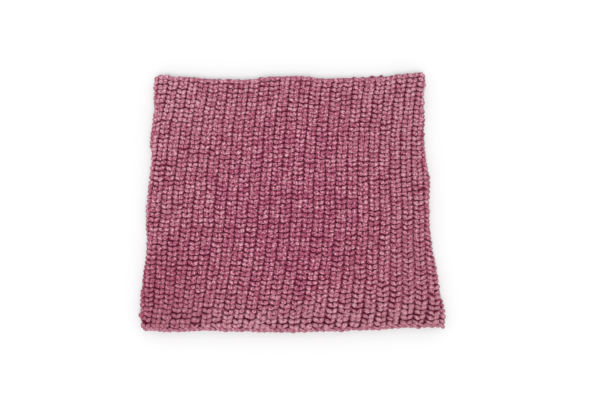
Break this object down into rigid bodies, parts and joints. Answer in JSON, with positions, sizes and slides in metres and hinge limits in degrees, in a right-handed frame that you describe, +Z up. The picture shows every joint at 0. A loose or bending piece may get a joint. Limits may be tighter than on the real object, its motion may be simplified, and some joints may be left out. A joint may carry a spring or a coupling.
{
  "type": "infinity scarf",
  "caption": "Rib-knit tube scarf laid flat in two layers, with soft side folds, an open mouth at each end, a bind-off edge and a cast-on edge.",
  "frame": {"origin": "centre of the face that rests on the table", "axes": "+X across the scarf from fold to fold, +Y along the ribs towards the bind-off mouth, +Z up from the table"},
  "size_m": [0.3008, 0.2604, 0.0122],
  "materials": {
    "rib_knit": "matt plush yarn in a heathered dusty pink, knitted in a 1x1 rib",
    "edge_knit": "the same plush yarn, in the paler chain of the knitted edges"
  },
  "bodies": {
    "root": {"front_panel": "rib_knit", "back_panel": "rib_knit", "front_bind_off_edge": "edge_knit", "back_bind_off_edge": "edge_knit", "front_cast_on_edge": "edge_knit", "back_cast_on_edge": "edge_knit"}
  },
  "joints": []
}
